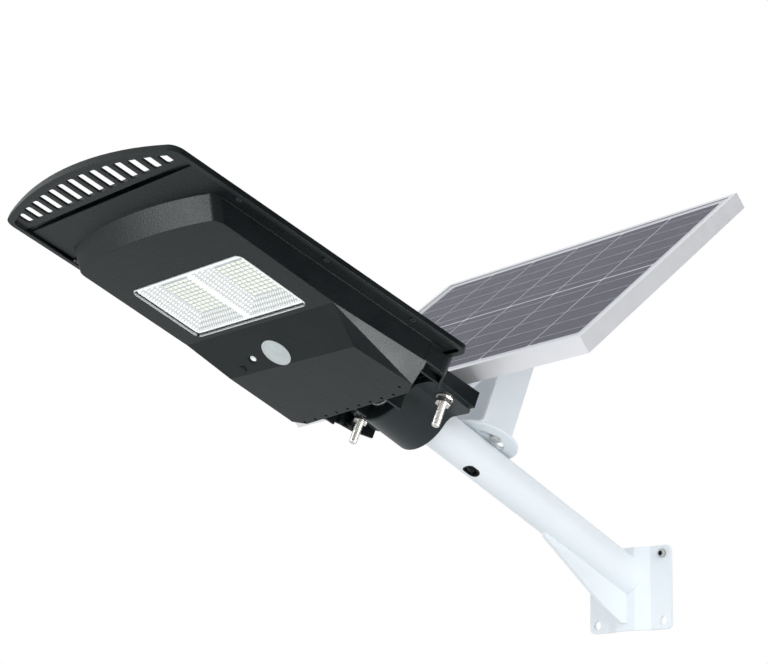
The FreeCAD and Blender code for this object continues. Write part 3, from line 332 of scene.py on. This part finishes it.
def reflector_plastic():
    """Glossy white trays: the sloping walls carry rows of small round beads, with painted shade between the
    beads; the whole tray also glows faintly as painted light.
    """
    m = Mat("reflector_plastic", (0.86, 0.87, 0.87), 0.2, specular=0.5)
    at = m.coords(LAMP)
    u, v, w = (m.axis(at, k) for k in range(3))
    du, dv = m.near(u, BEAD_PITCH), m.near(v, BEAD_PITCH, 0.0008)
    reach = m.math("SQRT", m.math("ADD", m.math("MULTIPLY", du, du), m.math("MULTIPLY", dv, dv)))
    bead = m.span(reach, BEAD_TOP, BEAD_FOOT, 1.0, 0.0)
    wall = m.math("MULTIPLY", m.span(w, WALL_LOW - 0.0003, WALL_LOW + 0.0003, 0.0, 1.0),
                  m.below(w, WALL_HIGH, 0.0002))
    # painted shade: grey between the beads, near white on their tops
    bead_painted_shade = m.mixed(bead, (0.50, 0.52, 0.52), (0.97, 0.98, 0.97))
    flat = m.mixed(m.span(m.noise(m.coords(), 40.0), 0.4, 0.7, 0, 1), (0.90, 0.91, 0.905), (0.85, 0.86, 0.86))
    tone = m.mixed(wall, flat, bead_painted_shade)
    m.colour(tone)
    # painted light: the unlit tray glows faintly in its own colour
    m.link(tone, m.b.inputs["Emission Color"])
    m.b.inputs["Emission Strength"].default_value = 0.16
    m.bump(m.math("MULTIPLY", bead, wall), 0.0010, 1.0)
    return m


MATS["white_reflector"] = reflector_plastic()


def led_face():
    """Each LED: a white package with a pale yellow phosphor window; the unlit LEDs also glow faintly as
    painted light.
    """
    m = Mat("led_package", (0.8, 0.8, 0.78), 0.3)
    at = m.coords(LAMP)
    du = m.near(m.axis(at, 0), LED_PITCH_U, LED_PITCH_U / 2)
    dv = m.near(m.math("ABSOLUTE", m.axis(at, 1)), LED_PITCH_V, LED_FIRST_V)
    window = m.math("MULTIPLY", m.below(du, LED_WINDOW_U, 0.0001),
                    m.below(dv, LED_WINDOW_V, 0.0001))
    glow = m.mixed(m.noise(at, 800.0), (0.90, 0.89, 0.70), (0.84, 0.83, 0.62))
    tone = m.mixed(window, (0.92, 0.93, 0.92), glow)
    m.colour(tone)
    # painted light: the unlit LEDs glow faintly in their own colours
    m.link(tone, m.b.inputs["Emission Color"])
    m.b.inputs["Emission Strength"].default_value = 0.14
    m.bump(window, 0.0003, 0.6)
    return m


def white_board():
    """Pale solder mask with grey tracks between the LEDs."""
    m = Mat("white_solder_mask", (0.5, 0.5, 0.5), 0.35)
    at = m.coords(LAMP)
    track = m.below(m.near(m.axis(at, 0), LED_PITCH_U), 0.0006, 0.0002)
    base = m.mixed(m.noise(at, 90.0), (0.50, 0.54, 0.55), (0.44, 0.48, 0.50))
    m.colour(m.mixed(track, base, (0.34, 0.38, 0.40)))
    m.bump(track, 0.00008, 0.5)
    return m


def green_board():
    m = Mat("green_board", (0.02, 0.12, 0.05), 0.35)
    at = m.coords()
    track = m.below(m.voronoi(at, 260.0, "DISTANCE_TO_EDGE"), 0.08, 0.02)
    m.colour(m.mixed(track, (0.018, 0.11, 0.045), (0.035, 0.18, 0.07)))
    m.bump(track, 0.00005, 0.6)
    return m


def dome_plastic():
    """Frosted sensor dome moulded with a honeycomb of small lenses."""
    m = smooth("frosted_dome", (0.58, 0.62, 0.62), (0.64, 0.68, 0.68), 0.3, 60.0)
    m.bump(m.voronoi(m.coords(RAMP), 300.0), 0.0010, 0.5)
    return m


def silicon():
    """Dark violet-grey solar cells with fine silver fingers and a slight tone change from cell to cell."""
    m = Mat("cell_silicon", (0.06, 0.06, 0.075), 0.4, specular=0.1)
    at = m.coords(PANEL)
    y = m.axis(at, 1)
    finger = m.below(m.near(y, 0.0021), 0.00012, 0.00005)
    cloud = m.noise(at, 11.0, 2.0)
    base = m.mixed(m.span(cloud, 0.35, 0.65, 0, 1), (0.080, 0.073, 0.100), (0.090, 0.083, 0.112))
    m.colour(m.mixed(m.math("MULTIPLY", finger, 0.12), base, (0.45, 0.45, 0.47)))
    return m


MATS["led_chip"] = led_face()
MATS["white_board"] = white_board()
MATS["green_board"] = green_board()
MATS["cell_silicon"] = silicon()
MATS["frosted_white"] = dome_plastic()


def clear(name, gloss, rough, tint=(1, 1, 1), dust=0.06, rim=None):
    """A clear sheet: what is behind shows through it, with a mirror share that grows at the edge.

    `rim` is a frame and two half sizes: outside that rectangle the sheet turns white, a painted highlight for
    the bright edge of the lens.
    """
    owner = bpy.data.materials.new(name)
    owner.use_nodes = True
    m = Nodes(owner).bare()
    out = m.node("ShaderNodeOutputMaterial")
    see = m.node("ShaderNodeBsdfTransparent")
    see.inputs["Color"].default_value = (*tint, 1)
    shine = m.node("ShaderNodeBsdfGlossy")
    m.link(m.span(m.noise(m.coords(), 25.0, 2.0, 0.5), 0.0, 1.0, rough - dust, rough + dust),
           shine.inputs["Roughness"])
    fresnel = m.node("ShaderNodeFresnel")
    fresnel.inputs["IOR"].default_value = 1.5
    sheet = m.node("ShaderNodeMixShader")
    m.link(m.math("MULTIPLY", fresnel.outputs[0], gloss), sheet.inputs[0])
    m.link(see.outputs[0], sheet.inputs[1])
    m.link(shine.outputs[0], sheet.inputs[2])
    if rim is not None:
        matrix, half_u, half_v = rim
        at = m.coords(matrix)
        over = m.math("MAXIMUM", m.math("SUBTRACT", m.math("ABSOLUTE", m.axis(at, 0)), half_u),
                      m.math("SUBTRACT", m.math("ABSOLUTE", m.axis(at, 1)), half_v))
        # painted highlight: outside the window the sheet turns an opaque white
        rim_painted_highlight = m.node("ShaderNodeBsdfPrincipled")
        rim_painted_highlight.inputs["Base Color"].default_value = (0.88, 0.90, 0.91, 1)
        rim_painted_highlight.inputs["Roughness"].default_value = 0.15
        clear_part, sheet = sheet, m.node("ShaderNodeMixShader")
        m.link(m.span(over, -0.0002, 0.0002, 0.0, 0.85), sheet.inputs[0])
        m.link(clear_part.outputs[0], sheet.inputs[1])
        m.link(rim_painted_highlight.outputs[0], sheet.inputs[2])
    m.link(sheet.outputs[0], out.inputs["Surface"])
    return m


MATS["clear_lens"] = clear("clear_lens", 0.2, 0.12, rim=(LAMP, LENS_HALF_U, LENS_HALF_V))
MATS["panel_glass"] = clear("panel_glass", 0.17, 0.28, (0.97, 0.97, 0.98))


def material(slot):
    return MATS[slot].m


for name, ob in NODES.items():
    if SLOT_OF.get(name) in MATS:
        ob.data.materials.clear()
        ob.data.materials.append(material(SLOT_OF[name]))


# ---- visual pieces -----------------------------------------------------------------------
def build(name, verts, faces, matrix, slot, body, node=None, smooth_angle=None):
    me = bpy.data.meshes.new(name)
    me.from_pydata([matrix @ Vector(v) for v in verts], [], faces)
    me.validate()
    me.update()
    ob = bpy.data.objects.new(name, me)
    bpy.context.scene.collection.objects.link(ob)
    me.materials.append(material(slot))
    if smooth_angle:
        for p in me.polygons:
            p.use_smooth = True
        me.set_sharp_from_angle(angle=math.radians(smooth_angle))
    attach(ob, body)
    if node:
        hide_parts(node)
    return ob


def prisms(outlines, z0, z1):
    """Verts and faces of straight prisms over flat outlines."""
    verts, faces = [], []
    for pts in outlines:
        k, n = len(verts), len(pts)
        verts += [(x, y, z0) for x, y in pts] + [(x, y, z1) for x, y in pts]
        faces += [tuple(k + n - 1 - i for i in range(n)), tuple(k + n + i for i in range(n))]
        faces += [(k + i, k + (i + 1) % n, k + n + (i + 1) % n, k + n + i) for i in range(n)]
    return verts, faces


def rect(cx, cy, lx, ly, cut=0.0):
    a, b = lx / 2, ly / 2
    return [(cx + x, cy + y) for x, y in ((a - cut, b), (-a + cut, b), (-a, b - cut), (-a, -b + cut),
                                          (-a + cut, -b), (a - cut, -b), (a, -b + cut), (a, b - cut))]


COLUMNS, RIBBONS = 6, 5
CELL_L, CELL_W, CELL_GAP, ROW_GAP = 0.168, 0.0806, 0.0024, 0.0036
CELL_CORNER = 0.002
CELLS_AT = -0.004          # the field of cells sits a little off the middle of the frame
RIBBON_W, STRIP_W, RIBBON_T, RIBBON_CORNER = 0.0008, 0.004, 0.00012, 0.0001
SHEET_X, SHEET_Y, SHEET_BACK = 0.3725, 0.533, -0.0047
SEEN_TOP = -0.0011         # the glass lifts what lies under it almost to its own surface
SEEN_CELL_T = 0.0002


def solar_laminate():
    """Cells, ribbons and white sheet where they are seen through the thick glass."""
    cells, ribbons = [], []
    pitch = CELL_W + CELL_GAP
    run = COLUMNS / 2 * pitch + 0.004
    for row in (-0.5, 0.5):
        cx = row * (CELL_L + ROW_GAP)
        for col in range(COLUMNS):
            cy = CELLS_AT + (col - (COLUMNS - 1) / 2) * pitch
            cells.append(rect(cx, cy, CELL_L, CELL_W, CELL_CORNER))
        for k in range(RIBBONS):
            x = cx + (k - (RIBBONS - 1) / 2) * CELL_L / RIBBONS
            ribbons.append(rect(x, CELLS_AT, RIBBON_W, 2 * run, RIBBON_CORNER))
    for s in (-1, 1):
        ribbons.append(rect(0, CELLS_AT + s * (run + 0.001), 2 * CELL_L, STRIP_W, RIBBON_CORNER))
    v, f = prisms(cells, SEEN_TOP - SEEN_CELL_T, SEEN_TOP)
    build("cells_seen", v, f, PANEL, "cell_silicon", "panel", "solar_cells")
    v, f = prisms(ribbons, SEEN_TOP, SEEN_TOP + RIBBON_T)
    build("ribbons_seen", v, f, PANEL, "tinned_ribbon", "panel", "cell_ribbons")
    v, f = prisms([rect(0, 0, SHEET_X, SHEET_Y, 0.001)], SHEET_BACK, SEEN_TOP - SEEN_CELL_T - 0.00001)
    build("sheet_seen", v, f, PANEL, "white_sheet", "panel", "panel_backsheet")


solar_laminate()


SCREW_AT = (0.0035, 0.057, 0.044)
SCREW_RINGS = ((0.0, 0.0055, False), (0.0046, 0.0055, False), (0.0052, 0.0049, False),
               (0.0052, 0.0036, True), (0.0018, 0.0035, True))      # x, radius, whether it is a hexagon
SCREW_HEAD_BANDS = 3       # bands of faces in the plated metal; past them the socket gets the dark screw metal as painted shade
SCREW_POINTS = 48


def wall_screw():
    """Cap screw with a hexagon socket in one corner of the wall plate."""
    n, verts, faces = SCREW_POINTS, [], []
    for x, radius, hexagon in SCREW_RINGS:
        for i in range(n):
            a = 2 * math.pi * i / n
            r = radius
            if hexagon:
                r *= math.cos(math.pi / 6) / math.cos((a % (math.pi / 3)) - math.pi / 6)
            verts.append((x, r * math.cos(a), r * math.sin(a)))
    bands = len(SCREW_RINGS) - 1
    for k in range(bands):
        for i in range(n):
            j = (i + 1) % n
            faces.append((k * n + i, k * n + j, (k + 1) * n + j, (k + 1) * n + i))
    faces.append(tuple(bands * n + i for i in range(n)))
    ob = build("wall_screw", verts, faces, Matrix.Translation(SCREW_AT), "plated_bolt", "arm",
               smooth_angle=35)
    # painted shade: the socket's walls and floor take the dark screw metal
    ob.data.materials.append(material("zinc_screw"))
    for p in ob.data.polygons[SCREW_HEAD_BANDS * n:]:
        p.material_index = 1


wall_screw()


# ---- room --------------------------------------------------------------------------------
WORLD_BASE, WORLD_LEAST = 0.90, 0.02
WORLD_FIELDS = (                   # direction, wide and narrow angle in degrees, level added
    ((-0.57, 0.82, 0.05), 48, 22, -0.92),      # dark, for the side wall of the lamp
    ((-0.25, -0.78, -0.56), 60, 25, -0.30),    # dimmer, for its underside
    ((0.9, 0.1, 0.35), 60, 20, 0.5))           # brighter, in front


def world():
    """White to the eye; for light, a soft sky with brighter and darker fields."""
    owner = bpy.data.worlds.new("studio")
    bpy.context.scene.world = owner
    owner.use_nodes = True
    w = Nodes(owner).bare()
    out = w.node("ShaderNodeOutputWorld")
    seen = w.node("ShaderNodeBackground")
    seen.inputs["Color"].default_value = (1, 1, 1, 1)
    lit_by = w.node("ShaderNodeBackground")
    lit_by.inputs["Color"].default_value = (0.95, 0.985, 1, 1)
    around = w.node("ShaderNodeTexCoord").outputs["Generated"]

    def field(direction, wide, narrow, level):
        """`level` inside the narrow angle about a direction, fading to 0 at the wide one."""
        dot = w.node("ShaderNodeVectorMath", operation="DOT_PRODUCT")
        dot.inputs[1].default_value = Vector(direction).normalized()
        w.link(around, dot.inputs[0])
        span = w.node("ShaderNodeMapRange", interpolation_type="SMOOTHSTEP")
        span.inputs["From Min"].default_value = math.cos(math.radians(wide))
        span.inputs["From Max"].default_value = math.cos(math.radians(narrow))
        span.inputs["To Max"].default_value = level
        w.link(dot.outputs["Value"], span.inputs["Value"])
        return span.outputs["Result"]

    fields = [field(*args) for args in WORLD_FIELDS]
    total = w.math("ADD", fields[0], WORLD_BASE)
    for extra in fields[1:]:
        total = w.math("ADD", extra, total)
    w.link(w.math("MAXIMUM", total, WORLD_LEAST), lit_by.inputs["Strength"])
    mix = w.node("ShaderNodeMixShader")
    w.link(w.node("ShaderNodeLightPath").outputs["Is Camera Ray"], mix.inputs[0])
    w.link(lit_by.outputs[0], mix.inputs[1])
    w.link(seen.outputs[0], mix.inputs[2])
    w.link(mix.outputs[0], out.inputs["Surface"])


def lit(name, nodes):
    """The CAD nodes that a softbox reaches."""
    group = bpy.data.collections.new(name)
    for node in nodes:
        group.objects.link(NODES[node])
    return group


def starting(*starts):
    return [n for n in NODES if n.startswith(starts)]


HEAD = lit("lamp_shell", ("top_cover", "bottom_housing", "clamp_bolts", "clamp_nuts", "clamp_washers"))
LENS = lit("lens_parts", starting("reflector", "led_", "lens", "indicator"))
PANEL_METAL = lit("panel_metal", starting("frame_rail", "mount_rail", "panel_yoke"))
STEEL = lit("white_parts", [n for n in NODES if SLOT_OF.get(n) in ("white_steel", "frame_aluminium")])

BOXES_AIM = Vector((0.62, 0.10, 0.20))
BOXES = (                          # name, direction from the aim, distance, size, radiance, what it lights
    ("box_below_right", (-0.34, 0.65, -0.68), 1.15, (0.5, 0.5), 23.0, HEAD),
    ("box_front", (0.84, -0.52, -0.15), 1.5, (0.6, 0.6), 11.0, HEAD),
    ("box_lens", (0.10, 0.25, -0.96), 1.5, (1.0, 1.0), 4.2, LENS),
    ("box_side", (0.15, 0.97, 0.10), 2.2, (1.6, 1.6), 2.9, STEEL),
    ("box_front_low", (0.48, 0.0, -0.88), 2.2, (1.2, 1.2), 3.4, PANEL_METAL))


def soft_box(name, towards, far, size, radiance, group):
    """A soft box of a given brightness that lights one group of pieces, unseen by the camera itself."""
    data = bpy.data.lights.new(name, "AREA")
    data.shape = "RECTANGLE"
    data.size, data.size_y = size
    data.energy = radiance * math.pi * size[0] * size[1]
    ob = bpy.data.objects.new(name, data)
    bpy.context.scene.collection.objects.link(ob)
    ob.location = BOXES_AIM + Vector(towards).normalized() * far
    ob.rotation_euler = (BOXES_AIM - ob.location).to_track_quat("-Z", "Y").to_euler()
    ob.visible_camera = False
    ob.light_linking.receiver_collection = group


FLOOR_HALF, FLOOR_LEVEL = 60.0, -3.0


def floor():
    """A plain pale floor well below the lamp."""
    me = bpy.data.meshes.new("floor")
    h, z = FLOOR_HALF, FLOOR_LEVEL
    me.from_pydata([(-h, -h, z), (h, -h, z), (h, h, z), (-h, h, z)], [], [(0, 1, 2, 3)])
    ob = bpy.data.objects.new("floor", me)
    bpy.context.scene.collection.objects.link(ob)
    m = Mat("pale_floor", (0.86, 0.86, 0.86), 0.8)
    cloud = m.span(m.noise(m.coords(), 3.0), 0.3, 0.7, 0, 1)
    m.colour(m.mixed(cloud, (0.90, 0.90, 0.895), (0.888, 0.888, 0.885)))
    me.materials.append(m.m)


world()
for box in BOXES:
    soft_box(*box)
floor()
bpy.context.scene.view_settings.view_transform = "Standard"
